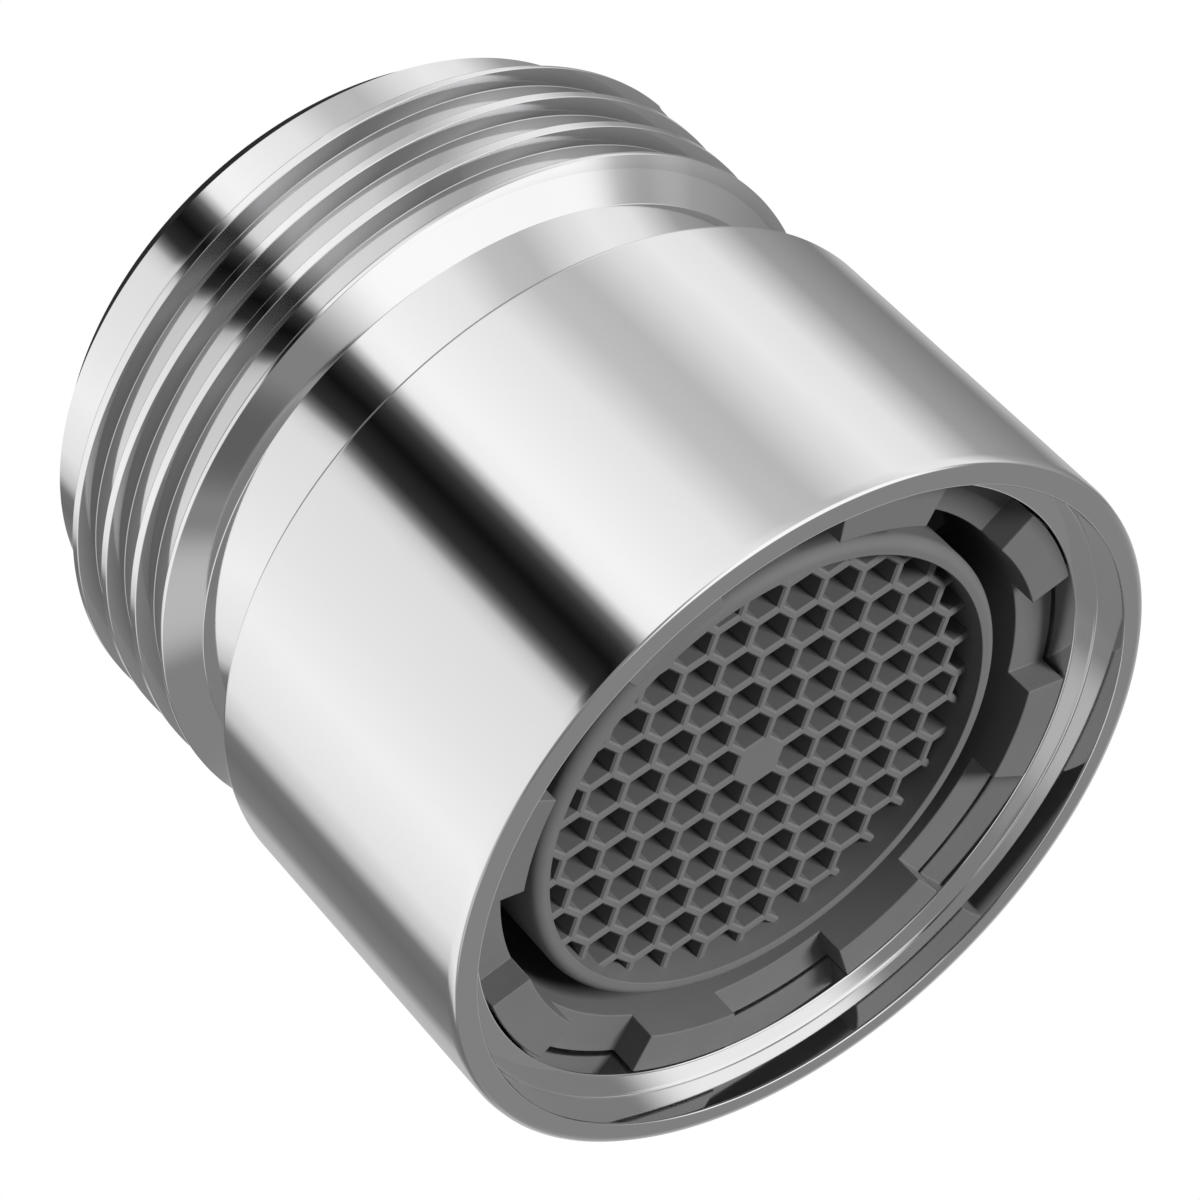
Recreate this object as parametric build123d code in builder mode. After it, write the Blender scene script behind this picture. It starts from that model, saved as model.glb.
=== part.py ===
from build123d import *
import os

# A tap aerator: a chromed brass housing that screws into a tap spout, with a recessed honeycomb
# insert that a service key turns. Millimetres. Z runs up from the outlet face to the inlet washer.

# Housing, outside: the standard thread's crests come first, and the other radii are steps from them
thread_radius = 13.22
thread_length = 5.7
run_in_length = 0.72
run_out_length = 0.6
neck_relief = 1.27
neck_length = 3.58
spigot_step = 1.15
spigot_length = 1.76
sleeve_length = 13.2
rim_round = 0.4
sleeve_back_chamfer = 0.15

# Housing, inside
neck_wall = 0.9
nose_recess = 0.64
ledge_width = 0.91
ledge_depth = 1.39
rim_width = 0.9
mouth_chamfer = 0.12
shoulder_width = 1.45
washer_recess_wall = 0.62

# Mounting washer
washer_width = 2.07
washer_thickness = 2.0
washer_proud = 0.91
washer_side_clearance = 0.08

# Outlet shell: castellated nose, threaded body and honeycomb outlet in one moulding
nose_side_clearance = 0.09
nose_length = 2.9
nose_bore_relief = 0.25
tooth_count = 8
tooth_angle = 20.5
tooth_middle = 20.0
tooth_depth = 1.1
shell_wall = 0.85
thread_clearance = 0.1
shell_length = 9.0
air_gap = 1.0
outlet_tube_wall = 0.8
bead_setback = 0.76
outlet_tube_length = 5.4
rib_count = 6
rib_width = 1.2
rib_height = 1.6
rib_middle = 42.5

# Honeycomb
cell_pitch = 1.58
cell_wall = 0.32
cell_turn = 19.66
honeycomb_setback = 0.65
honeycomb_depth = 2.4
smallest_opening = 0.3

# Mixing grids
grid_side_clearance = 0.06
grid_thickness = 0.5
grid_rim_width = 0.6
grid_rim_thickness = 0.75
grid_slot_width = 1.0
grid_slot_pitch = 1.6
grid_turn = 60.0

# Jet plate: a cup that carries the flow regulator, with the jets in its floor
jet_flange_thickness = 1.0
jet_flange_clearance = 0.05
jet_skirt_depth = 1.0
jet_skirt_clearance = 0.05
jet_floor_thickness = 1.0
jet_cup_clearance = 0.5
jet_cup_wall = 0.7
jet_cup_height = 3.6
jet_length = 1.0
jet_width = 0.7
jet_count = 12
jet_ring_step = 1.6
boss_radius = 2.6
boss_height = 0.8
seat_width = 0.4

# Seal between the insert and the shoulder inside the housing
seal_thickness = 1.0
seal_bore_clearance = 0.1

# Flow regulator
base_side_clearance = 0.08
base_thickness = 0.9
core_radius = 2.4
flute_count = 6
flute_depth = 0.5
flute_width = 0.6
outlet_length = 1.3
outlet_width = 0.8
chamber_wall = 0.7
ring_width = 1.7
ring_chamfer = 0.35
ring_core_clearance = 0.5
ring_chamber_clearance = 0.7
ring_headroom = 0.15
cap_thickness = 0.8
inlet_count = 6
inlet_length = 1.8
inlet_width = 1.0

# Inlet screen
screen_wall = 0.6
screen_taper = 1.1
screen_height = 3.2
screen_hole = 1.3
screen_hole_pitch = 1.9
screen_rim_width = 0.7
screen_skirt_wall = 0.5

# Heights that the pieces share
thread_wall_z = sleeve_length + neck_length + run_in_length
thread_end_z = thread_wall_z + thread_length
spigot_z = thread_end_z + run_out_length
housing_top_z = spigot_z + spigot_length
washer_floor_z = housing_top_z - washer_thickness + washer_proud
nose_end_z = ledge_depth + nose_length
shell_top_z = ledge_depth + shell_length
jet_flange_top_z = shell_top_z + jet_flange_thickness
shoulder_z = jet_flange_top_z + seal_thickness
bead_top_z = ledge_depth + bead_setback
outlet_tube_top_z = bead_top_z + outlet_tube_length
honeycomb_z = bead_top_z + honeycomb_setback
honeycomb_top_z = honeycomb_z + honeycomb_depth
jet_floor_z = shell_top_z - jet_skirt_depth
jet_floor_top_z = jet_floor_z + jet_floor_thickness
base_z = jet_floor_top_z + boss_height
base_top_z = base_z + base_thickness
chamber_top_z = base_top_z + ring_width + ring_headroom
jet_cup_top_z = jet_flange_top_z + jet_cup_height
screen_top_z = jet_cup_top_z + screen_height

# Radii of the housing, from the thread's crests inwards and back out to the sleeve
neck_radius = thread_radius - neck_relief
housing_thread_radius = neck_radius - neck_wall
upper_bore_radius = housing_thread_radius - shoulder_width
nose_bore_radius = housing_thread_radius + nose_recess
mouth_radius = nose_bore_radius + ledge_width
sleeve_radius = mouth_radius + rim_width
spigot_radius = thread_radius - spigot_step
washer_recess_radius = spigot_radius - washer_recess_wall

# Radii of the pieces that fit in it
washer_radius = washer_recess_radius - washer_side_clearance
washer_bore_radius = washer_radius - washer_width
nose_radius = nose_bore_radius - nose_side_clearance
shell_thread_radius = housing_thread_radius - thread_clearance
shell_wall_radius = shell_thread_radius - shell_wall
outlet_tube_radius = shell_wall_radius - air_gap
outlet_tube_bore = outlet_tube_radius - outlet_tube_wall
grid_radius = outlet_tube_bore - grid_side_clearance
jet_flange_radius = shell_thread_radius - jet_flange_clearance
jet_skirt_radius = shell_wall_radius - jet_skirt_clearance
jet_cup_radius = upper_bore_radius - jet_cup_clearance
jet_cup_bore = jet_cup_radius - jet_cup_wall
jet_ring_radii = (jet_cup_bore - 2 * jet_ring_step, jet_cup_bore - jet_ring_step)
base_radius = jet_cup_bore - base_side_clearance
ring_radius = core_radius + ring_core_clearance + ring_width / 2
chamber_radius = ring_radius + ring_width / 2 + ring_chamber_clearance


def circles_at(part, height):
    """The part's round edges at one height, from the smallest to the largest."""
    edges = part.edges().filter_by(GeomType.CIRCLE)
    return edges.filter_by_position(Axis.Z, height - 0.001, height + 0.001).sort_by(SortBy.RADIUS)


def export(part, name):
    """Labels a finished piece and writes its file."""
    part.label = name
    export_step(part, f"parts/{name}.step")


os.makedirs("parts", exist_ok=True)

# Housing: one turned piece
with BuildPart() as housing:
    with BuildSketch(Plane.XZ):
        with BuildLine():
            Polyline(
                (mouth_radius, 0),
                (sleeve_radius, 0),
                (sleeve_radius, sleeve_length),
                (neck_radius, sleeve_length),
                (neck_radius, sleeve_length + neck_length),
                (thread_radius, thread_wall_z),
                (thread_radius, thread_end_z),
                (spigot_radius, spigot_z),
                (spigot_radius, housing_top_z),
                (washer_recess_radius, housing_top_z),
                (washer_recess_radius, washer_floor_z),
                (upper_bore_radius, washer_floor_z),
                (upper_bore_radius, shoulder_z),
                (housing_thread_radius, shoulder_z),
                (housing_thread_radius, nose_end_z + nose_bore_relief),
                (nose_bore_radius, nose_end_z + nose_bore_relief),
                (nose_bore_radius, ledge_depth),
                (mouth_radius, ledge_depth),
                close=True,
            )
        make_face()
    revolve(axis=Axis.Z)
    fillet(circles_at(housing, 0)[-1], rim_round)
    chamfer(circles_at(housing, 0)[0], mouth_chamfer)
    chamfer(circles_at(housing, sleeve_length)[-1], sleeve_back_chamfer)
export(housing.part, "housing")

# Mounting washer: flat rubber ring in the recess of the inlet end
with BuildPart() as mounting_washer:
    with BuildSketch(Plane.XY.offset(washer_floor_z)):
        Circle(washer_radius)
        Circle(washer_bore_radius, mode=Mode.SUBTRACT)
    extrude(amount=washer_thickness)
export(mounting_washer.part, "mounting_washer")

# Outlet shell: turned forms first, then the notches, the ribs and the honeycomb
with BuildPart() as outlet_shell:
    with BuildSketch(Plane.XZ):
        with BuildLine():
            Polyline(
                (shell_wall_radius, ledge_depth),
                (nose_radius, ledge_depth),
                (nose_radius, nose_end_z),
                (shell_thread_radius, nose_end_z),
                (shell_thread_radius, shell_top_z),
                (shell_wall_radius, shell_top_z),
                close=True,
            )
        make_face()
        # The tube around the honeycomb ends in a rounded bead
        bead_round = outlet_tube_wall / 2
        with BuildLine():
            tube_wall = Polyline(
                (outlet_tube_radius, bead_top_z + bead_round),
                (outlet_tube_radius, outlet_tube_top_z),
                (outlet_tube_bore, outlet_tube_top_z),
                (outlet_tube_bore, bead_top_z + bead_round),
            )
            ThreePointArc(tube_wall @ 1, (outlet_tube_radius - bead_round, bead_top_z), tube_wall @ 0)
        make_face()
    revolve(axis=Axis.Z)

    # Notches between the teeth, open towards the outlet
    with BuildSketch(Plane.XY.offset(ledge_depth)):
        with BuildLine():
            reach = 1.2 * nose_radius
            notch_middle = tooth_middle + 180 / tooth_count
            half_notch = 180 / tooth_count - tooth_angle / 2
            one_side = PolarLine((0, 0), reach, notch_middle - half_notch)
            other_side = PolarLine((0, 0), reach, notch_middle + half_notch)
            Line(one_side @ 1, other_side @ 1)
        make_face()
        with BuildLine():
            CenterArc((0, 0), (shell_wall_radius + outlet_tube_radius) / 2, 0, 360)
        make_face(mode=Mode.SUBTRACT)
    notch = extrude(amount=tooth_depth, mode=Mode.PRIVATE)
    with PolarLocations(0, tooth_count):
        add(notch, mode=Mode.SUBTRACT)

    # Ribs that join the tube to the wall, deep in the air gap
    rib_length = shell_wall_radius - outlet_tube_radius
    with BuildSketch(Plane.XY.offset(outlet_tube_top_z - rib_height)):
        with PolarLocations((shell_wall_radius + outlet_tube_radius) / 2, rib_count, rib_middle):
            Rectangle(rib_length + bead_round, rib_width)
    extrude(amount=rib_height)

    # Honeycomb: a plate that closes the tube, its cells cut through around a solid middle one
    with BuildSketch(Plane.XY.offset(honeycomb_z)):
        Circle(outlet_tube_radius - bead_round)
    extrude(amount=honeycomb_depth)
    cell_radius = (cell_pitch - cell_wall) / 2
    row_pitch = cell_pitch * 3**0.5 / 2
    rows = int(outlet_tube_bore / row_pitch) + 1
    cell_reach = outlet_tube_bore + cell_radius - smallest_opening
    cell_places = [
        Vector(cell_pitch * (column + row % 2 / 2), row_pitch * row)
        for row in range(-rows, rows + 1)
        for column in range(-rows - 1, rows + 1)
    ]
    with BuildSketch(Plane.XY.offset(honeycomb_z)):
        with Locations(Location((0, 0), cell_turn)):
            with Locations(*[place for place in cell_places if 0 < place.length < cell_reach]):
                RegularPolygon(cell_radius, 6, major_radius=False, rotation=30)
        Circle(outlet_tube_bore, mode=Mode.INTERSECT)
    extrude(amount=honeycomb_depth, mode=Mode.SUBTRACT)
export(outlet_shell.part, "outlet_shell")

# Mixing grids: slotted discs stacked on the honeycomb, each turned from the one below
grid_names = ("lower_grid", "middle_grid", "upper_grid")
slot_reach = grid_radius - grid_rim_width
slots_each_side = int(slot_reach / grid_slot_pitch)
for level, grid_name in enumerate(grid_names):
    grid_z = honeycomb_top_z + level * grid_rim_thickness
    with BuildPart() as grid:
        with BuildSketch(Plane.XY.offset(grid_z)):
            Circle(grid_radius)
            Circle(slot_reach, mode=Mode.SUBTRACT)
        extrude(amount=grid_rim_thickness)
        with BuildSketch(Plane.XY.offset(grid_z)) as slots:
            with Locations(Location((0, 0), cell_turn + level * grid_turn)):
                with GridLocations(1, grid_slot_pitch, 1, 2 * slots_each_side + 1):
                    Rectangle(2 * slot_reach, grid_slot_width)
            Circle(slot_reach, mode=Mode.INTERSECT)
        with BuildSketch(Plane.XY.offset(grid_z)):
            Circle(slot_reach)
            add(slots.sketch, mode=Mode.SUBTRACT)
        extrude(amount=grid_thickness)
    export(grid.part, grid_name)

# Jet plate: the flange is held between the outlet shell and the seal
with BuildPart() as jet_plate:
    with BuildSketch(Plane.XZ):
        with BuildLine():
            Polyline(
                (0, jet_floor_z),
                (jet_skirt_radius, jet_floor_z),
                (jet_skirt_radius, shell_top_z),
                (jet_flange_radius, shell_top_z),
                (jet_flange_radius, jet_flange_top_z),
                (jet_cup_radius, jet_flange_top_z),
                (jet_cup_radius, jet_cup_top_z),
                (jet_cup_bore, jet_cup_top_z),
                (jet_cup_bore, base_z),
                (jet_cup_bore - seat_width, base_z),
                (jet_cup_bore - seat_width, jet_floor_top_z),
                (boss_radius, jet_floor_top_z),
                (boss_radius, base_z),
                (0, base_z),
                close=True,
            )
        make_face()
    revolve(axis=Axis.Z)
    with BuildSketch(Plane.XY.offset(jet_floor_z)):
        for level, jet_ring_radius in enumerate(jet_ring_radii):
            with PolarLocations(jet_ring_radius, jet_count, 180 / jet_count * level):
                Rectangle(jet_length, jet_width)
    extrude(amount=jet_floor_thickness, mode=Mode.SUBTRACT)
export(jet_plate.part, "jet_plate")

# Insert seal: flat ring between the jet plate's flange and the shoulder of the housing
with BuildPart() as insert_seal:
    with BuildSketch(Plane.XY.offset(jet_flange_top_z)):
        Circle(jet_flange_radius)
        Circle(jet_cup_radius + seal_bore_clearance, mode=Mode.SUBTRACT)
    extrude(amount=seal_thickness)
export(insert_seal.part, "insert_seal")

# Regulator base: a disc with a fluted core inside a round chamber wall
with BuildPart() as regulator_base:
    with BuildSketch(Plane.XY.offset(base_z)):
        Circle(base_radius)
        with PolarLocations(ring_radius, flute_count):
            Rectangle(outlet_length, outlet_width, mode=Mode.SUBTRACT)
    extrude(amount=base_thickness)
    with BuildSketch(Plane.XY.offset(base_top_z)):
        Circle(chamber_radius + chamber_wall)
        Circle(chamber_radius, mode=Mode.SUBTRACT)
        Circle(core_radius)
        with PolarLocations(core_radius, flute_count):
            Rectangle(2 * flute_depth, flute_width, mode=Mode.SUBTRACT)
    extrude(amount=chamber_top_z - base_top_z)
export(regulator_base.part, "regulator_base")

# Regulator ring: the elastic ring that swells over the flutes as the pressure rises
with BuildPart() as regulator_ring:
    with BuildSketch(Plane.XZ):
        with Locations((ring_radius, base_top_z + ring_width / 2)):
            Rectangle(ring_width, ring_width)
        chamfer(vertices(), ring_chamfer)
    revolve(axis=Axis.Z)
export(regulator_ring.part, "regulator_ring")

# Regulator cap: closes the chamber
with BuildPart() as regulator_cap:
    with BuildSketch(Plane.XY.offset(chamber_top_z)):
        Circle(chamber_radius + chamber_wall)
        with PolarLocations(ring_radius, inlet_count):
            Rectangle(inlet_length, inlet_width, mode=Mode.SUBTRACT)
    extrude(amount=cap_thickness)
export(regulator_cap.part, "regulator_cap")

# Inlet screen: a perforated conical cap whose skirt holds the regulator down
with BuildPart() as inlet_screen:
    screen_top_radius = jet_cup_radius - screen_taper
    with BuildSketch(Plane.XZ):
        with BuildLine():
            Polyline(
                (base_radius, base_top_z),
                (base_radius, jet_cup_top_z),
                (jet_cup_radius, jet_cup_top_z),
                (screen_top_radius, screen_top_z),
                (0, screen_top_z),
                (0, screen_top_z - screen_wall),
                (screen_top_radius - screen_wall, screen_top_z - screen_wall),
                (base_radius - screen_skirt_wall, jet_cup_top_z),
                (base_radius - screen_skirt_wall, base_top_z),
                close=True,
            )
        make_face()
    revolve(axis=Axis.Z)
    holes_each_side = int(screen_top_radius / screen_hole_pitch)
    hole_reach = screen_top_radius - screen_rim_width - screen_hole / 2
    hole_places = [
        Vector(screen_hole_pitch * column, screen_hole_pitch * row)
        for row in range(-holes_each_side, holes_each_side + 1)
        for column in range(-holes_each_side, holes_each_side + 1)
    ]
    with BuildSketch(Plane.XY.offset(screen_top_z - screen_wall)):
        with Locations(*[place for place in hole_places if place.length < hole_reach]):
            Rectangle(screen_hole, screen_hole)
    extrude(amount=screen_wall, mode=Mode.SUBTRACT)
export(inlet_screen.part, "inlet_screen")
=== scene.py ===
"""The looks of a tap aerator: a chromed housing with its thread, a recessed honeycomb insert and
a rubber washer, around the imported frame. Sizes are millimetres until mesh_from() makes them metres,
and angles are degrees."""

import math

import bmesh
import bpy
from mathutils import Matrix, Vector


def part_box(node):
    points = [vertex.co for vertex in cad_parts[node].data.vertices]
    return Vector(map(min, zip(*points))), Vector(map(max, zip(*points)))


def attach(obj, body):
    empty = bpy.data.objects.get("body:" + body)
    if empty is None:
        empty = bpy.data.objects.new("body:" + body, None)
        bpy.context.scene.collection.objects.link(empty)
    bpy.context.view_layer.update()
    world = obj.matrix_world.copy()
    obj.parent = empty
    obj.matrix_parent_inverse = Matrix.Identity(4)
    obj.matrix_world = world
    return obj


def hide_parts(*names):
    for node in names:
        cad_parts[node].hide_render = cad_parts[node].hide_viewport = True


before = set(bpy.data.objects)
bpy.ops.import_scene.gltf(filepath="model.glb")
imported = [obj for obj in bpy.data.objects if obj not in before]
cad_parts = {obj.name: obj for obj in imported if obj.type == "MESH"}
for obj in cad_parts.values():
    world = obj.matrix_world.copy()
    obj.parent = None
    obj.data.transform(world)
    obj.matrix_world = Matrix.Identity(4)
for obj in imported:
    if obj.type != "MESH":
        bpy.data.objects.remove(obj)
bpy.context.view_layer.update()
MM = 0.001

# Meshes: how many columns a turned piece has, and the least side and turn in radians of an outline
COLUMNS = 360
TUBE_COLUMNS = 240
SHORTEST_SIDE = 0.004
SMALLEST_TURN = 0.02
# The sharpest corner in radians that a rounding is fitted to, and the share of a side it may take
SHARPEST_CORNER = 0.2
SIDE_SHARE = 0.45
# Points of two columns that are less than this apart are joined straight across
JOIN_REACH = 0.022
SAME_POINT = 0.0005
# Faces whose areas differ by less square millimetres weigh alike in the normals
LIKE_AREAS = 0.002

# Housing, outside
SLEEVE_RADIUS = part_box("housing")[1].x / MM
HOUSING_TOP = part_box("housing")[1].z / MM
SLEEVE_LENGTH = 13.2
NECK_RADIUS = 11.95
NECK_TOP = 16.78
CONE_TOP = 17.48
CONE_LOWEST_AT = 150
SPIGOT_RADIUS = 12.07
SPIGOT_BASE = 23.8
THREAD_TOP = 23.2
# Between these heights the outline changes round the axis; outside them it is plainly turned
TURNED_BELOW = SLEEVE_LENGTH + 1.2
TURNED_ABOVE = SPIGOT_BASE + 0.6

# Male thread: the groove starts at GROOVE_START at angle 0 and has its full depth at GROOVE_FADE
CREST_RADIUS = 13.22
THREAD_DEPTH = 0.62
THREAD_PITCH = 1.814
CREST_WIDTH = 0.33
FLANK_WIDTH = 0.13
GROOVE_START = 16.45
GROOVE_TURNS = 5
GROOVE_FADE = 50
THREAD_EDGE = 0.04
PAST_THE_TOP = 30

# Housing, inside
MOUTH_RADIUS = 12.6
LEDGE_DEPTH = 1.39
NOSE_BORE = 11.69
NOSE_BORE_TOP = 4.54
INNER_THREAD_RADIUS = 11.05
SHOULDER_HEIGHT = 12.39
UPPER_BORE = 9.6
WASHER_RECESS = 11.45
WASHER_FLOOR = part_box("mounting_washer")[0].z / MM

# Mounting washer
WASHER_BORE = 9.3
WASHER_EDGE = 0.15

# Outlet insert
NOSE_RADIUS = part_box("outlet_shell")[1].x / MM
INSERT_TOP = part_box("outlet_shell")[1].z / MM
NOSE_TOP = 4.29
INSERT_THREAD_RADIUS = 10.95
WALL_RADIUS = 10.1
TEETH = 8
TOOTH_ANGLE = 20.5
TOOTH_MIDDLE = 20.0
TOOTH_DEPTH = 1.1
TOOTH_STEPS = 12
NOSE_EDGE = 0.05
TUBE_RADIUS = 9.1
TUBE_BORE = 8.3
BEAD_HEIGHT = 2.15
BEAD_BORE = 8.48
BEAD_EDGE = 0.04
BEAD_STEPS = 8
TUBE_TOP = 7.55
RIBS = 6
RIB_OVERLAP = 0.2
RIB_WIDTH = 1.2
RIB_HEIGHT = 1.6
RIB_MIDDLE = 42.5

# Honeycomb
CELL_PITCH = 1.58
CELL_WALL = 0.31
CELL_TURN = 19.66
CELL_BEVEL = 0.07
CELLS_ACROSS = 17
PAST_THE_PLATE = 4
PLATE_SIDES = 96
PLATE_OVERLAP = 0.3
HONEYCOMB_HEIGHT = 2.8
HONEYCOMB_DEPTH = 2.4
SMALLEST_OPENING = 0.08

# Camera, as an orbit about a point on the axis
CAMERA_AIM = 11.52
CAMERA_AZIMUTH = 240.81
CAMERA_ELEVATION = -34.67
CAMERA_DISTANCE = 158.83
CAMERA_ROLL = -44.49
CAMERA_LENS = 145.82
SENSOR = 36
NEAREST_SEEN = 10


class Wire:
    """An output socket that arithmetic works on."""

    def __init__(self, graph, socket):
        self.graph = graph
        self.socket = socket

    def math(self, operation, other=0.0):
        return self.graph.add("ShaderNodeMath", {0: self, 1: other}, operation=operation)

    def __add__(self, other):
        return self.math("ADD", other)

    def __sub__(self, other):
        return self.math("SUBTRACT", other)

    def __rsub__(self, other):
        return self.graph.add("ShaderNodeMath", {0: other, 1: self}, operation="SUBTRACT")

    def __mul__(self, other):
        return self.math("MULTIPLY", other)

    def __truediv__(self, other):
        return self.math("DIVIDE", other)

    __radd__ = __add__
    __rmul__ = __mul__


class Graph:
    """A node tree under construction, for shaders and for geometry."""

    def __init__(self, tree):
        self.tree = tree
        tree.nodes.clear()

    def add(self, kind, inputs=None, output=0, **settings):
        """One node: its settings first, then the values or wires of its inputs."""
        node = self.tree.nodes.new(kind)
        for name, value in settings.items():
            setattr(node, name, value)
        for name, value in (inputs or {}).items():
            if isinstance(value, Wire):
                self.tree.links.new(value.socket, node.inputs[name])
            else:
                node.inputs[name].default_value = value
        return Wire(self, node.outputs[output]) if len(node.outputs) else node

    def ramp(self, factor, stops):
        """A colour ramp with (place, grey or colour) stops."""
        node = self.tree.nodes.new("ShaderNodeValToRGB")
        ramp = node.color_ramp
        while len(ramp.elements) > 1:
            ramp.elements.remove(ramp.elements[-1])
        for index, (place, colour) in enumerate(stops):
            element = ramp.elements[0] if index == 0 else ramp.elements.new(place)
            element.position = place
            shade = (colour,) * 3 if isinstance(colour, (int, float)) else colour
            element.color = (*shade, 1)
        self.tree.links.new(factor.socket, node.inputs[0])
        return Wire(self, node.outputs[0])


def rounded(corners, closed=True, steps=3):
    """Outline points from (radius, height, rounding) corners; each rounding fits its two sides."""
    points = []
    count = len(corners)
    for index, (radius, height, rounding) in enumerate(corners):
        here = Vector((radius, height))
        at_end = not closed and index in (0, count - 1)
        if at_end or not rounding:
            points.append(here)
            continue
        before = Vector(corners[index - 1][:2]) - here
        after = Vector(corners[(index + 1) % count][:2]) - here
        reach = rounding / math.tan(max(before.angle(after), SHARPEST_CORNER) / 2)
        reach = min(reach, SIDE_SHARE * before.length, SIDE_SHARE * after.length)
        start = here + before.normalized() * reach
        end = here + after.normalized() * reach
        for step in range(steps + 1):
            share = step / steps
            chord = start.lerp(here, share).lerp(here.lerp(end, share), share)
            points.append(chord)
    return points


def mesh_from(name, points, faces, material, soft=None):
    """A mesh object at the origin from millimetre points, smooth except at its real edges."""
    mesh = bpy.data.meshes.new(name)
    mesh.from_pydata([Vector(point) * MM for point in points], [], faces)
    return piece_from(name, mesh, material, soft=soft)


def piece_from(name, mesh, material, sharp=60, soft=None):
    """Cleans a mesh, turns its faces outwards and puts it in the scene. Edges that turn by more
    than sharp degrees are real ones. Flats are shaded flat, by normals that follow the larger
    faces; where soft() is true of a point, the shading runs on from the rounded edges into them."""
    tidy = bmesh.new()
    tidy.from_mesh(mesh)
    bmesh.ops.remove_doubles(tidy, verts=tidy.verts, dist=SAME_POINT * MM)
    bmesh.ops.dissolve_degenerate(tidy, edges=tidy.edges, dist=SAME_POINT * MM)
    bmesh.ops.recalc_face_normals(tidy, faces=tidy.faces)
    tidy.to_mesh(mesh)
    tidy.free()
    mesh.name = name
    mesh.materials.clear()
    mesh.materials.append(material)
    mesh.shade_smooth()
    mesh.set_sharp_from_angle(angle=math.radians(sharp))
    piece = bpy.data.objects.new(name, mesh)
    bpy.context.scene.collection.objects.link(piece)
    weighted = piece.modifiers.new("flats", "WEIGHTED_NORMAL")
    weighted.keep_sharp = True
    weighted.weight = 100
    weighted.thresh = LIKE_AREAS
    mesh.transform(Matrix.Scale(1 / MM, 4))
    flats = piece.vertex_groups.new(name="flats")
    flats.add([v.index for v in mesh.vertices if not (soft and soft(v.co))], 1, "REPLACE")
    weighted.vertex_group = flats.name
    baked(piece).data.transform(Matrix.Scale(MM, 4))
    piece.vertex_groups.clear()
    return piece


def baked(piece):
    """The piece with its modifiers' result as its own mesh."""
    evaluated = piece.evaluated_get(bpy.context.evaluated_depsgraph_get())
    mesh = bpy.data.meshes.new_from_object(evaluated)
    piece.modifiers.clear()
    piece.data = mesh
    return piece


def zipped(left, right):
    """Faces between two columns of one outline, each a list of (radius, height, index), lowest
    first. Points that nearly agree are joined across; the rest are taken in order of height."""
    faces = []
    i = j = 0
    last = (math.inf, math.inf, None)
    while i < len(left) - 1 or j < len(right) - 1:
        one = left[i + 1] if i < len(left) - 1 else last
        other = right[j + 1] if j < len(right) - 1 else last
        agree = abs(one[0] - other[0]) < JOIN_REACH and abs(one[1] - other[1]) < JOIN_REACH
        if agree:
            faces.append((left[i][2], right[j][2], other[2], one[2]))
            i, j = i + 1, j + 1
        elif one[1] < other[1]:
            faces.append((left[i][2], right[j][2], one[2]))
            i += 1
        else:
            faces.append((left[i][2], right[j][2], other[2]))
            j += 1
    return faces


def turned(name, outline, material, columns=COLUMNS):
    """A closed outline turned about the axis."""
    points = []
    for column in range(columns):
        angle = math.tau * column / columns
        points += [(r * math.cos(angle), r * math.sin(angle), z) for r, z in outline]
    count = len(outline)
    faces = []
    for column in range(columns):
        here = column * count
        there = (column + 1) % columns * count
        for index in range(count):
            after = (index + 1) % count
            faces.append((here + index, there + index, there + after, here + after))
    return mesh_from(name, points, faces, material)


def thread_outline(angle):
    """The outside of the housing from the neck to the spigot at one angle: one helical groove in
    the crest cylinder, between a run-in cone that leans with it and the chamfer at its far end."""
    turned_by = (angle - CONE_LOWEST_AT) % 360 / 180
    cone_top = CONE_TOP + THREAD_PITCH / 4 * (2 * min(turned_by, 2 - turned_by) - 1)
    limit = (
        (TURNED_BELOW, NECK_RADIUS),
        (NECK_TOP, NECK_RADIUS),
        (cone_top, CREST_RADIUS),
        (THREAD_TOP, CREST_RADIUS),
        (SPIGOT_BASE, SPIGOT_RADIUS),
        (TURNED_ABOVE, SPIGOT_RADIUS),
    )
    thread = [(limit[0][0], CREST_RADIUS)]
    for turn in range(GROOVE_TURNS):
        wound = angle + 360 * turn
        low = GROOVE_START + THREAD_PITCH * wound / 360
        high = low + THREAD_PITCH - CREST_WIDTH
        root = CREST_RADIUS - THREAD_DEPTH * min(wound / GROOVE_FADE, 1)
        thread += [
            (low, CREST_RADIUS),
            (low + FLANK_WIDTH, root),
            (high - FLANK_WIDTH, root),
            (high, CREST_RADIUS),
        ]
    thread.append((PAST_THE_TOP, CREST_RADIUS))

    def radius_on(line, height):
        for (low, start), (high, end) in zip(line, line[1:]):
            if low <= height <= high:
                return start + (end - start) * (height - low) / (high - low)

    heights = sorted(h for h in {h for h, _ in (*limit, *thread)} if h <= limit[-1][0])
    knots = []
    for low, high in zip(heights, heights[1:]):
        knots.append(low)
        gap_low = radius_on(limit, low) - radius_on(thread, low)
        gap_high = radius_on(limit, high) - radius_on(thread, high)
        if gap_low * gap_high < 0:
            knots.append(low + (high - low) * gap_low / (gap_low - gap_high))
    knots.append(heights[-1])
    line = [Vector((min(radius_on(limit, h), radius_on(thread, h)), h)) for h in knots]
    corners = [line[0]]
    for before, here, after in zip(line, line[1:], line[2:]):
        turn = (here - before).angle(after - here, 0)
        if (here - corners[-1]).length > SHORTEST_SIDE and turn > SMALLEST_TURN:
            corners.append(here)
    corners.append(line[-1])
    return rounded([(r, z, THREAD_EDGE) for r, z in corners], closed=False, steps=2)


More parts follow.
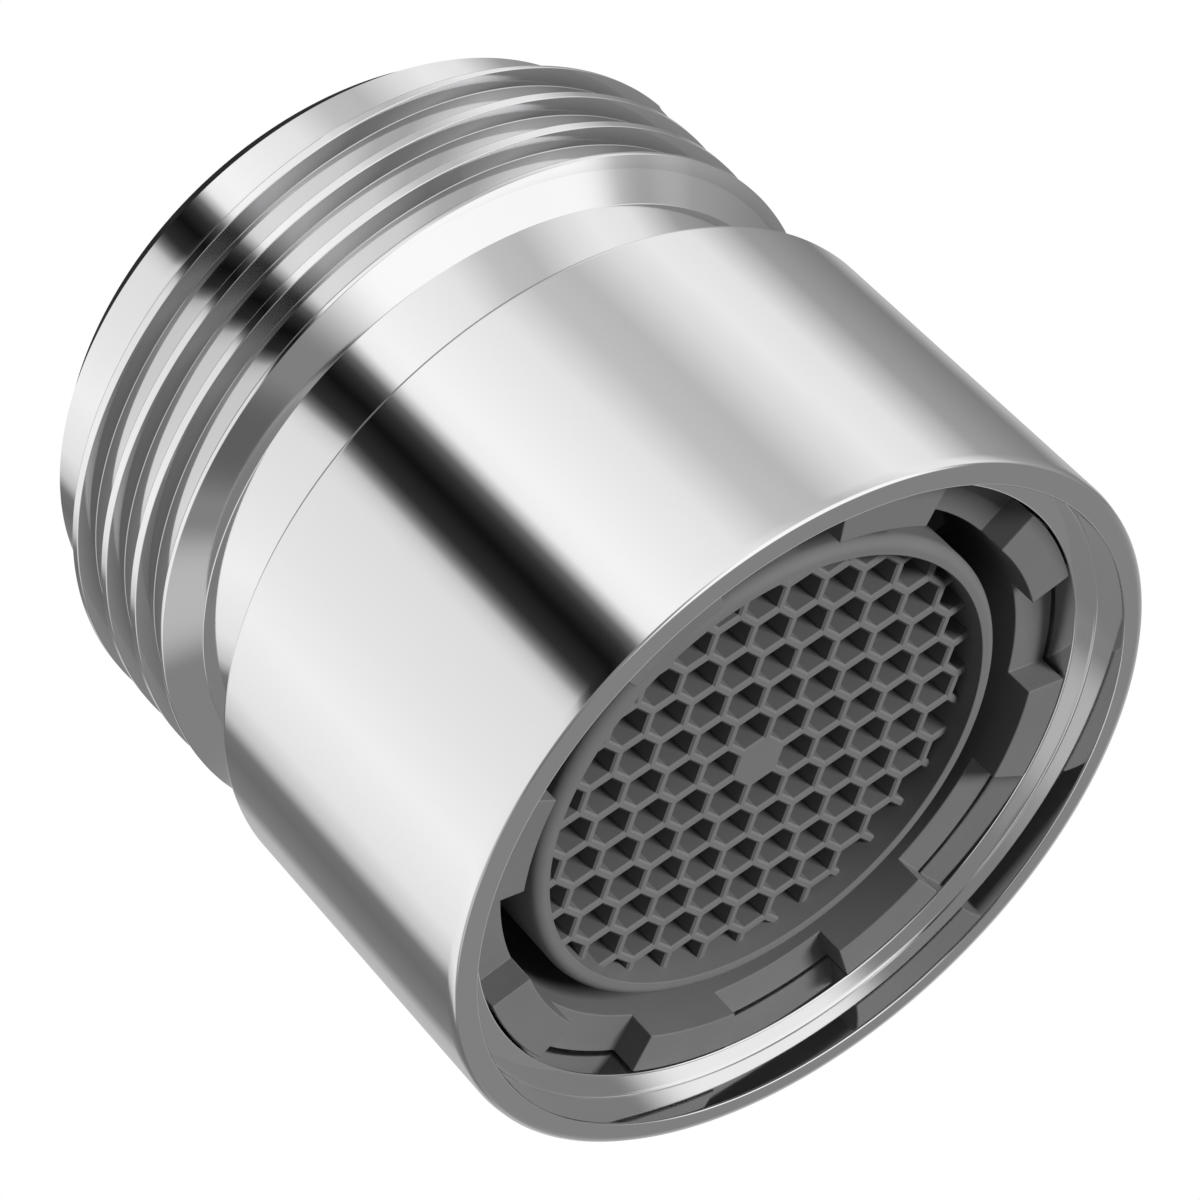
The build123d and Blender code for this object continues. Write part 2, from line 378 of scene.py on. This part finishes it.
def make_housing(material):
    """The housing: its inside, its sleeve and its spigot's end are plainly turned, and the columns
    of the thread's outline are zipped, because they have different numbers of points."""
    # Radius, height and rounding of each corner, down the inside from the inlet and up the sleeve
    inside_and_sleeve = rounded([
        (SPIGOT_RADIUS, HOUSING_TOP, 0.12),
        (WASHER_RECESS, HOUSING_TOP, 0.05),
        (WASHER_RECESS, WASHER_FLOOR, 0.05),
        (UPPER_BORE, WASHER_FLOOR, 0.1),
        (UPPER_BORE, SHOULDER_HEIGHT, 0.08),
        (INNER_THREAD_RADIUS, SHOULDER_HEIGHT, 0.08),
        (INNER_THREAD_RADIUS, NOSE_BORE_TOP, 0.1),
        (NOSE_BORE, NOSE_BORE_TOP, 0.08),
        (NOSE_BORE, LEDGE_DEPTH, 0.08),
        (MOUTH_RADIUS, LEDGE_DEPTH, 0.12),
        (MOUTH_RADIUS, 0, 0.12),
        (SLEEVE_RADIUS, 0, 0.55),
        (SLEEVE_RADIUS, SLEEVE_LENGTH, 0.22),
        (NECK_RADIUS, SLEEVE_LENGTH, 0.15),
        (NECK_RADIUS, TURNED_BELOW, 0),
    ], closed=False)
    points, faces, columns = [], [], []
    for column in range(COLUMNS):
        angle = 360 * column / COLUMNS
        turn = Vector((math.cos(math.radians(angle)), math.sin(math.radians(angle))))
        outside = thread_outline(angle)
        start = len(points)
        for r, z in [*inside_and_sleeve[:-1], *outside]:
            points.append((r * turn.x, r * turn.y, z))
        joint = start + len(inside_and_sleeve) - 1
        columns.append((start, [(r, z, joint + i) for i, (r, z) in enumerate(outside)]))
    plain = len(inside_and_sleeve)
    for column in range(COLUMNS):
        start, outside = columns[column]
        next_start, next_outside = columns[(column + 1) % COLUMNS]
        for index in range(plain - 1):
            here, there = start + index, next_start + index
            faces.append((here, there, there + 1, here + 1))
        faces += zipped(outside, next_outside)
        faces.append((outside[-1][2], next_outside[-1][2], next_start, start))

    # Limits just past the thread, the cone and the groove's root, for the shading
    lowest, highest, inmost = SLEEVE_LENGTH + 0.5, HOUSING_TOP - 0.5, NECK_RADIUS - 0.1
    cone_end = CONE_TOP + THREAD_PITCH / 4 + 0.02
    root_end = CREST_RADIUS - THREAD_DEPTH + 0.005

    def cone_or_root(point):
        threaded = lowest < point.z < highest and point.xy.length > inmost
        return threaded and (point.z < cone_end or point.xy.length < root_end)

    return mesh_from("housing_chromed", points, faces, material, soft=cone_or_root)


def make_castellation(material):
    """The insert's outer wall with teeth and notches at its outlet end."""
    floor = LEDGE_DEPTH + TOOTH_DEPTH

    def outline(top):
        return [
            (WALL_RADIUS, INSERT_TOP),
            (WALL_RADIUS, floor),
            (WALL_RADIUS, top),
            (NOSE_RADIUS, top),
            (NOSE_RADIUS, floor),
            (NOSE_RADIUS, NOSE_TOP),
            (INSERT_THREAD_RADIUS, NOSE_TOP),
            (INSERT_THREAD_RADIUS, INSERT_TOP),
        ]

    stations = []
    notch = 360 / TEETH - TOOTH_ANGLE
    for tooth in range(TEETH):
        middle = TOOTH_MIDDLE + 360 / TEETH * tooth
        for step in range(TOOTH_STEPS + 1):
            stations.append((middle + TOOTH_ANGLE * (step / TOOTH_STEPS - 0.5), LEDGE_DEPTH))
        for step in range(TOOTH_STEPS + 1):
            stations.append((middle + TOOTH_ANGLE / 2 + notch * step / TOOTH_STEPS, floor))
    points = []
    for angle, top in stations:
        cos, sin = math.cos(math.radians(angle)), math.sin(math.radians(angle))
        points += [(r * cos, r * sin, z) for r, z in outline(top)]
    count = len(outline(floor))
    faces = []
    for station in range(len(stations)):
        here = station * count
        there = (station + 1) % len(stations) * count
        for index in range(count):
            after = (index + 1) % count
            faces.append((here + index, there + index, there + after, here + after))
    return mesh_from("castellation", points, faces, material)


def make_tube(material):
    """The tube round the honeycomb: its outlet end is round outside and crisp inside."""
    bead = (TUBE_RADIUS - TUBE_BORE) / 2
    outline = [(TUBE_BORE, TUBE_TOP), (TUBE_RADIUS, TUBE_TOP)]
    for step in range(BEAD_STEPS + 1):
        angle = math.pi / 2 * step / BEAD_STEPS
        round_by = (bead * (1 - math.cos(angle)), bead * (1 - math.sin(angle)))
        outline.append((TUBE_RADIUS - round_by[0], BEAD_HEIGHT + round_by[1]))
    outline += [(BEAD_BORE + BEAD_EDGE, BEAD_HEIGHT), (BEAD_BORE, BEAD_HEIGHT + BEAD_EDGE)]
    return turned("tube", outline, material, columns=TUBE_COLUMNS)


# The faces of a box whose corners are listed outwards, then across, then up
BOX_FACES = ((0, 1, 3, 2), (4, 6, 7, 5), (0, 4, 5, 1), (2, 3, 7, 6), (0, 2, 6, 4), (1, 5, 7, 3))


def make_ribs(material):
    """The ribs that join the tube to the wall, deep in the air gap."""
    points, faces = [], []
    for rib in range(RIBS):
        turn = Matrix.Rotation(math.radians(RIB_MIDDLE + 360 / RIBS * rib), 3, "Z")
        start = len(points)
        for r in (TUBE_RADIUS - RIB_OVERLAP, WALL_RADIUS + RIB_OVERLAP):
            for y in (-RIB_WIDTH / 2, RIB_WIDTH / 2):
                for z in (TUBE_TOP - RIB_HEIGHT, TUBE_TOP):
                    points.append(turn @ Vector((r, y, z)))
        for face in BOX_FACES:
            faces.append(tuple(start + corner for corner in face))
    return mesh_from("ribs", points, faces, material)


def grown(name, build, material, sizes):
    """Runs a Geometry Nodes tree with named sizes and returns its result as a plain mesh object."""
    tree = bpy.data.node_groups.new(name, "GeometryNodeTree")
    tree.interface.new_socket("Geometry", in_out="OUTPUT", socket_type="NodeSocketGeometry")
    for label in sizes:
        tree.interface.new_socket(label, in_out="INPUT", socket_type="NodeSocketFloat")
    graph = Graph(tree)
    group_input = tree.nodes.new("NodeGroupInput")
    values = {label: Wire(graph, group_input.outputs[label]) for label in sizes}
    result = build(graph, values)
    real = graph.add("GeometryNodeRealizeInstances", {"Geometry": result})
    finished = graph.add("GeometryNodeSetMaterial", {"Geometry": real, "Material": material})
    graph.add("NodeGroupOutput", {"Geometry": finished})
    carrier = bpy.data.objects.new(name, bpy.data.meshes.new(name))
    bpy.context.scene.collection.objects.link(carrier)
    modifier = carrier.modifiers.new(name, "NODES")
    modifier.node_group = tree
    for item in tree.interface.items_tree:
        if item.in_out == "INPUT":
            modifier[item.identifier] = float(sizes[item.name])
    bpy.context.view_layer.update()
    evaluated = carrier.evaluated_get(bpy.context.evaluated_depsgraph_get())
    mesh = bpy.data.meshes.new_from_object(evaluated)
    bpy.data.objects.remove(carrier)
    return piece_from(name, mesh, material, sharp=35)


def honeycomb_nodes(graph, size):
    """A round plate with hexagonal cells cut through it, each with a bevelled mouth."""
    # Places of the cells: a grid, every second row shifted by half a cell, trimmed to a circle
    row_pitch = size["Pitch"] * (3**0.5 / 2)
    lattice = graph.add("GeometryNodeMeshGrid", {
        "Size X": size["Pitch"] * (CELLS_ACROSS - 1),
        "Size Y": row_pitch * (CELLS_ACROSS - 1),
        "Vertices X": CELLS_ACROSS,
        "Vertices Y": CELLS_ACROSS,
    })
    place = graph.add("GeometryNodeInputPosition")
    row = (graph.add("ShaderNodeSeparateXYZ", {0: place}, output=1) / row_pitch).math("ROUND")
    shift = row.math("ABSOLUTE").math("MODULO", 2.0) * size["Pitch"] * 0.5
    shifted = graph.add("GeometryNodeSetPosition", {
        "Geometry": lattice,
        "Offset": graph.add("ShaderNodeCombineXYZ", {0: shift}),
    })
    distance = graph.add("ShaderNodeVectorMath", {0: place}, output=1, operation="LENGTH")
    outside = distance.math("GREATER_THAN", size["Reach"])
    middle = distance.math("LESS_THAN", size["Pitch"] * 0.5)
    kept = graph.add("GeometryNodeDeleteGeometry", {
        "Geometry": shifted,
        "Selection": outside.math("MAXIMUM", middle),
    })
    # Cutter of one cell: a hexagonal prism that flares at its outer end and runs past the plate
    corner = (size["Pitch"] - size["Wall"]) * (1 / 3**0.5)
    cutter = graph.add("GeometryNodeMeshCylinder", {
        "Vertices": 6, "Side Segments": 2, "Radius": 1.0, "Depth": 2.0,
    })
    height = graph.add("ShaderNodeSeparateXYZ", {0: place}, output=2)
    mouth = height.math("LESS_THAN", -0.5)
    deep = height.math("GREATER_THAN", 0.5)
    flare = size["Bevel"] * PAST_THE_PLATE
    new_height = size["Bevel"] - mouth * flare + deep * size["Depth"]
    scale = corner + mouth * flare * (2 / 3**0.5)
    planar = graph.add("ShaderNodeVectorMath", {
        0: place, 1: graph.add("ShaderNodeCombineXYZ", {0: scale, 1: scale, 2: 0.0}),
    }, operation="MULTIPLY")
    lifted = graph.add("ShaderNodeVectorMath", {
        0: planar, 1: graph.add("ShaderNodeCombineXYZ", {2: new_height}),
    }, operation="ADD")
    shaped = graph.add("GeometryNodeSetPosition", {"Geometry": cutter, "Position": lifted})
    upright = graph.add("GeometryNodeTransform", {
        "Geometry": shaped, "Rotation": (0, 0, math.radians(30)),
    })
    # The plate, and the cells cut out of it
    cells = graph.add("GeometryNodeInstanceOnPoints", {"Points": kept, "Instance": upright})
    plate = graph.add("GeometryNodeMeshCylinder", {
        "Vertices": PLATE_SIDES, "Radius": size["Plate"], "Depth": size["Depth"],
    })
    seated = graph.add("GeometryNodeTransform", {
        "Geometry": plate,
        "Translation": graph.add("ShaderNodeCombineXYZ", {2: size["Depth"] * 0.5}),
    })
    cut = graph.add("GeometryNodeMeshBoolean", {
        "Mesh 1": seated,
        "Mesh 2": graph.add("GeometryNodeRealizeInstances", {"Geometry": cells}),
    }, operation="DIFFERENCE", solver="EXACT")
    return graph.add("GeometryNodeTransform", {
        "Geometry": cut,
        "Translation": (0, 0, HONEYCOMB_HEIGHT * MM),
        "Rotation": (0, 0, math.radians(CELL_TURN)),
    })


def make_honeycomb(material):
    """The honeycomb that closes the tube, with cells only where enough of one is open."""
    cell_radius = (CELL_PITCH - CELL_WALL) / 2
    return grown("honeycomb", honeycomb_nodes, material, {
        "Pitch": CELL_PITCH * MM,
        "Wall": CELL_WALL * MM,
        "Bevel": CELL_BEVEL * MM,
        "Depth": HONEYCOMB_DEPTH * MM,
        "Plate": (TUBE_BORE + PLATE_OVERLAP) * MM,
        "Reach": (TUBE_BORE + cell_radius - SMALLEST_OPENING) * MM,
    })


def bevelled(piece, width, angle=40, segments=2):
    """Rounds a piece's sharp edges for good."""
    modifier = piece.modifiers.new("edges", "BEVEL")
    modifier.width = width * MM
    modifier.segments = segments
    modifier.limit_method = "ANGLE"
    modifier.angle_limit = math.radians(angle)
    mesh = baked(piece).data
    name, material = piece.name, mesh.materials[0]
    bpy.data.objects.remove(piece)
    return piece_from(name, mesh, material)


def joined(name, pieces):
    """Several pieces of one moulding as one object."""
    mesh = bpy.data.meshes.new(name)
    whole = bmesh.new()
    for piece in pieces:
        whole.from_mesh(piece.data)
    whole.to_mesh(mesh)
    whole.free()
    mesh.materials.append(pieces[0].data.materials[0])
    for piece in pieces:
        bpy.data.objects.remove(piece)
    one = bpy.data.objects.new(name, mesh)
    bpy.context.scene.collection.objects.link(one)
    return one


# Finishes: colours, and the sizes of what varies on them in millimetres
CHROME = (0.9, 0.9, 0.905)
# The chrome's colour at the bottom of the thread's groove, darker: painted shade in the groove
CHROME_PAINTED_GROOVE_SHADE = (0.7, 0.7, 0.705)
CHROME_CLOUD = 4.0
GREY_PLASTIC = (0.168, 0.169, 0.169)
WHITE_PLASTIC = (0.62, 0.62, 0.6)
PLASTIC_GRAIN = 0.12
PLASTIC_MOTTLE = 2.5
RUBBER_GRAIN = 0.2
GRAIN_HEIGHT = 0.02
PALE_FLOOR = (0.9, 0.9, 0.9, 1)
FLOOR_REACH = 400


def shader(name):
    """A new material and its empty node tree."""
    material = bpy.data.materials.new(name)
    material.use_nodes = True
    return material, Graph(material.node_tree)


def finish_shader(graph, inputs):
    """The one surface shader of a finish."""
    surface = graph.add("ShaderNodeBsdfPrincipled", inputs)
    graph.add("ShaderNodeOutputMaterial", {"Surface": surface})


def noise(graph, place, size, detail=2.0):
    """Noise from 0 to 1 whose blotches are about size millimetres across."""
    inputs = {"Vector": place, "Scale": 1 / (size * MM), "Detail": detail}
    return graph.add("ShaderNodeTexNoise", inputs)


def grainy(graph, grain, strength):
    """Normals of a fine grain."""
    return graph.add("ShaderNodeBump", {
        "Height": grain, "Strength": strength, "Distance": GRAIN_HEIGHT * MM,
    })


def polished_chrome():
    """Chrome plate, darkened by painted shade at the bottom of the thread's groove."""
    material, graph = shader("polished_chrome")
    place = graph.add("ShaderNodeTexCoord", output=3)
    cloud = noise(graph, place, CHROME_CLOUD)
    along = graph.add("ShaderNodeSeparateXYZ", {0: place}, output=2) * (1 / MM)
    flat = graph.add("ShaderNodeVectorMath", {0: place, 1: (1, 1, 0)}, operation="MULTIPLY")
    radius = graph.add("ShaderNodeVectorMath", {0: flat}, output=1, operation="LENGTH") * (1 / MM)
    # How deep a point lies in the thread's groove; the chrome takes painted shade in proportion
    groove_shade_depth = graph.add("ShaderNodeMapRange", {
        0: radius, 1: CREST_RADIUS - 0.1, 2: CREST_RADIUS - THREAD_DEPTH,
    })
    threaded = along.math("GREATER_THAN", CONE_TOP) * along.math("LESS_THAN", THREAD_TOP)
    shade = graph.ramp(groove_shade_depth * threaded, ((0, CHROME), (1, CHROME_PAINTED_GROOVE_SHADE)))
    finish_shader(graph, {
        "Base Color": shade,
        "Metallic": 1.0,
        "Roughness": 0.045 + cloud * 0.03,
    })
    return material


def moulded_plastic(name, colour, roughness):
    """Satin moulded plastic with a fine eroded grain and slight mottling."""
    material, graph = shader(name)
    place = graph.add("ShaderNodeTexCoord", output=3)
    grain = noise(graph, place, PLASTIC_GRAIN)
    mottle = noise(graph, place, PLASTIC_MOTTLE)
    darker, lighter = ((*(share * part for part in colour), 1) for share in (0.92, 1.06))
    shade = graph.add("ShaderNodeMix", {
        0: mottle, 6: darker, 7: lighter,
    }, output=2, data_type="RGBA")
    finish_shader(graph, {
        "Base Color": shade,
        "Roughness": roughness - 0.04 + grain * 0.08,
        "Specular IOR Level": 0.25,
        "Normal": grainy(graph, grain, 0.12),
    })
    return material


def black_rubber():
    """Matt rubber with a fine grain."""
    material, graph = shader("black_rubber")
    place = graph.add("ShaderNodeTexCoord", output=3)
    grain = noise(graph, place, RUBBER_GRAIN, detail=4.0)
    finish_shader(graph, {
        "Base Color": graph.ramp(grain, ((0.3, 0.012), (0.7, 0.022))),
        "Roughness": 0.55 + grain * 0.1,
        "Normal": grainy(graph, grain, 0.3),
    })
    return material


# The studio's walls: brightness by compass direction in degrees. The values are readings of what
# the photo's sleeve mirrors from there, divided by the chrome's 0.9 and rounded
WALLS = (
    (0, 0.36), (17, 0.27), (29, 0.22), (42, 0.46), (62, 0.55), (89, 0.48), (98, 0.22),
    (114, 0.155), (122, 0.18), (128, 0.6), (138, 0.85), (163, 0.96), (188, 0.86), (212, 0.8),
    (216, 0.7), (218, 0.56), (220, 0.2), (223, 0.03), (231, 0.004), (236, 0.03), (239, 0.13),
    (241, 0.48), (243.5, 0.95), (250, 1.0), (277, 0.85), (290, 0.57), (302, 0.52), (315, 0.76),
    (327, 0.9), (342, 0.84), (350, 0.62), (360, 0.36),
)
# What the thread's groove shows, deep inside, by compass direction. The values began as readings
# of the photo's groove and were then changed
GROOVE_GLOW = (
    (0, 0.26), (12, 0.22), (170, 0.24), (195, 0.28), (208, 0.36), (220, 0.3), (230, 0.1),
    (240, 0.04), (252, 0.66), (258, 0.7), (272, 0.5), (289, 0.29), (300, 0.33), (322, 0.57),
    (339, 0.42), (350, 0.26),
)
# Soft panels under the object: compass, elevation, clear to, faded by, brightness
PANELS = (
    (190, 25, 40, 58, 0.95),
    (320, -60, 22, 36, 1.05),
    (304, -36, 6, 42, 1.05),
    (300, -20, 10, 38, 1.0),
    (130, -45, 5, 16, 0.52),
    (163, -33, 5, 26, 0.52),
    (172, -69, 2, 13, 0.12),
)
# Lamps that matt surfaces see: compass, elevation, brightness on a face turned to it, spread
LAMPS = {
    "key": (310, -50, 1.05, 20),
    "top": (120, 55, 0.6, 40),
}
EVEN_LIGHT = 0.14
GROUND = 0.235
CEILING = 0.2
# Where the ground gives way to the walls, and the walls to the ceiling, as sines of elevation
WALLS_BEGIN, WALLS_FULL = -0.5, -0.2
CEILING_BEGINS, CEILING_FULL = 0.72, 0.85
# The groove's brightness counts above this sine, and at ray depths above this, which two
# reflections reach
GROOVE_SEES_FROM = -0.4
ONE_REFLECTION = 2.5


def smooth(graph, value, low, high):
    """0 where the value is below low, 1 where it is above high, and a soft step between."""
    inputs = {0: value, 1: low, 2: high}
    return graph.add("ShaderNodeMapRange", inputs, interpolation_type="SMOOTHSTEP")


def panel(graph, direction, below, compass, elevation, inner, outer, brightness):
    """Lays one round soft panel over what is seen so far."""
    compass, elevation = math.radians(compass), math.radians(elevation)
    middle = Vector((
        math.cos(elevation) * math.cos(compass),
        math.cos(elevation) * math.sin(compass),
        math.sin(elevation),
    ))
    facing = graph.add("ShaderNodeVectorMath", {
        0: direction, 1: middle,
    }, output=1, operation="DOT_PRODUCT")
    share = smooth(graph, facing, math.cos(math.radians(outer)), math.cos(math.radians(inner)))
    return below + share * (brightness - below)


def make_world():
    """White to the camera; to metal a studio of pale walls with dark gaps over a ground with soft
    panels, and another brightness deep in the thread; to the rest even light."""
    world = bpy.data.worlds.new("studio")
    bpy.context.scene.world = world
    world.use_nodes = True
    graph = Graph(world.node_tree)
    direction = graph.add("ShaderNodeTexCoord")
    split = [graph.add("ShaderNodeSeparateXYZ", {0: direction}, output=axis) for axis in range(3)]
    compass = (split[1].math("ARCTAN2", split[0]) / math.tau).math("FLOORED_MODULO", 1.0)
    walls = graph.ramp(compass, [(angle / 360, grey) for angle, grey in WALLS])
    groove = graph.ramp(compass, [(angle / 360, grey) for angle, grey in GROOVE_GLOW])
    below = split[2] * 0 + GROUND
    for place in PANELS:
        below = panel(graph, direction, below, *place)
    over = smooth(graph, split[2], CEILING_BEGINS, CEILING_FULL)
    above = walls + over * (CEILING - walls)
    rising = smooth(graph, split[2], WALLS_BEGIN, WALLS_FULL)
    studio = below + rising * (above - below)
    depth = graph.add("ShaderNodeLightPath", output="Ray Depth")
    deep = depth.math("GREATER_THAN", ONE_REFLECTION)
    level = split[2].math("GREATER_THAN", GROOVE_SEES_FROM)
    studio = studio + deep * level * (groove - studio)
    glossy = graph.add("ShaderNodeLightPath", output="Is Glossy Ray")
    camera = graph.add("ShaderNodeLightPath", output="Is Camera Ray")
    lit = EVEN_LIGHT + glossy * (studio - EVEN_LIGHT)
    seen = lit + camera * (1 - lit)
    background = graph.add("ShaderNodeBackground", {"Color": seen})
    graph.add("ShaderNodeOutputWorld", {"Surface": background})


def make_lamps():
    """Soft lamps that give matt surfaces their shape; metal doesn't reflect them."""
    for name, (compass, elevation, brightness, spread) in LAMPS.items():
        lamp = bpy.data.objects.new(name, bpy.data.lights.new(name, "SUN"))
        lamp.data.energy = brightness * math.pi
        lamp.data.angle = math.radians(spread)
        lamp.visible_glossy = False
        tilt = math.radians(90 - elevation)
        lamp.rotation_euler = (tilt, 0, math.radians(compass + 90))
        bpy.context.scene.collection.objects.link(lamp)


def make_floor():
    """A pale floor seen from above only, so that it hides nothing from a camera below it."""
    material, graph = shader("pale_floor")
    facing_away = graph.add("ShaderNodeNewGeometry", output="Backfacing")
    camera = graph.add("ShaderNodeLightPath", output="Is Camera Ray")
    shown = camera * (1 - facing_away)
    clear = graph.add("ShaderNodeBsdfTransparent")
    pale = graph.add("ShaderNodeBsdfDiffuse", {"Color": PALE_FLOOR})
    mixed = graph.add("ShaderNodeMixShader", {0: shown, 1: clear, 2: pale})
    graph.add("ShaderNodeOutputMaterial", {"Surface": mixed})
    half = FLOOR_REACH * MM
    corners = [(-half, -half, 0), (half, -half, 0), (half, half, 0), (-half, half, 0)]
    mesh = bpy.data.meshes.new("floor")
    mesh.from_pydata(corners, [], [(0, 1, 2, 3)])
    mesh.materials.append(material)
    floor = bpy.data.objects.new("floor", mesh)
    bpy.context.scene.collection.objects.link(floor)


def make_camera():
    """The camera of the picture, rolled as the picture is."""
    azimuth, elevation = math.radians(CAMERA_AZIMUTH), math.radians(CAMERA_ELEVATION)
    outwards = Vector((
        math.cos(elevation) * math.cos(azimuth),
        math.cos(elevation) * math.sin(azimuth),
        math.sin(elevation),
    ))
    level = (-outwards).cross(Vector((0, 0, 1))).normalized()
    upright = level.cross(-outwards)
    roll = math.radians(CAMERA_ROLL)
    right = level * math.cos(roll) + upright * math.sin(roll)
    up = upright * math.cos(roll) - level * math.sin(roll)
    place = (Vector((0, 0, CAMERA_AIM)) + outwards * CAMERA_DISTANCE) * MM
    camera = bpy.data.objects.new("camera", bpy.data.cameras.new("camera"))
    camera.data.lens = CAMERA_LENS
    camera.data.sensor_width = SENSOR
    camera.data.clip_start = NEAREST_SEEN * MM
    facing = Matrix((right, up, outwards)).transposed().to_4x4()
    camera.matrix_world = Matrix.Translation(place) @ facing
    bpy.context.scene.collection.objects.link(camera)
    bpy.context.scene.camera = camera


chrome = polished_chrome()
grey_plastic = moulded_plastic("grey_plastic", GREY_PLASTIC, 0.45)
white_plastic = moulded_plastic("white_plastic", WHITE_PLASTIC, 0.4)
rubber = black_rubber()

housing = make_housing(chrome)
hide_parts("housing")

insert = joined("outlet_insert", [
    bevelled(make_castellation(grey_plastic), NOSE_EDGE),
    make_tube(grey_plastic),
    make_ribs(grey_plastic),
    make_honeycomb(grey_plastic),
])
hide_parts("outlet_shell")

washer_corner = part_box("mounting_washer")[1]
washer_radius, washer_top = washer_corner.x / MM, washer_corner.z / MM
washer = turned("washer", rounded([
    (WASHER_BORE, WASHER_FLOOR, WASHER_EDGE),
    (washer_radius, WASHER_FLOOR, WASHER_EDGE),
    (washer_radius, washer_top, WASHER_EDGE),
    (WASHER_BORE, washer_top, WASHER_EDGE),
]), rubber)
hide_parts("mounting_washer")

for piece in (housing, insert, washer):
    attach(piece, "root")

# The inner pieces keep their CAD shapes and get a finish each
inner_finishes = {
    "insert_seal": rubber,
    "regulator_ring": rubber,
    "lower_grid": grey_plastic,
    "middle_grid": grey_plastic,
    "upper_grid": grey_plastic,
    "jet_plate": white_plastic,
    "regulator_base": white_plastic,
    "regulator_cap": white_plastic,
    "inlet_screen": white_plastic,
}
for node, material in inner_finishes.items():
    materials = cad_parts[node].data.materials
    materials.clear()
    materials.append(material)

make_world()
make_lamps()
make_floor()
make_camera()
bpy.context.scene.view_settings.view_transform = "Standard"
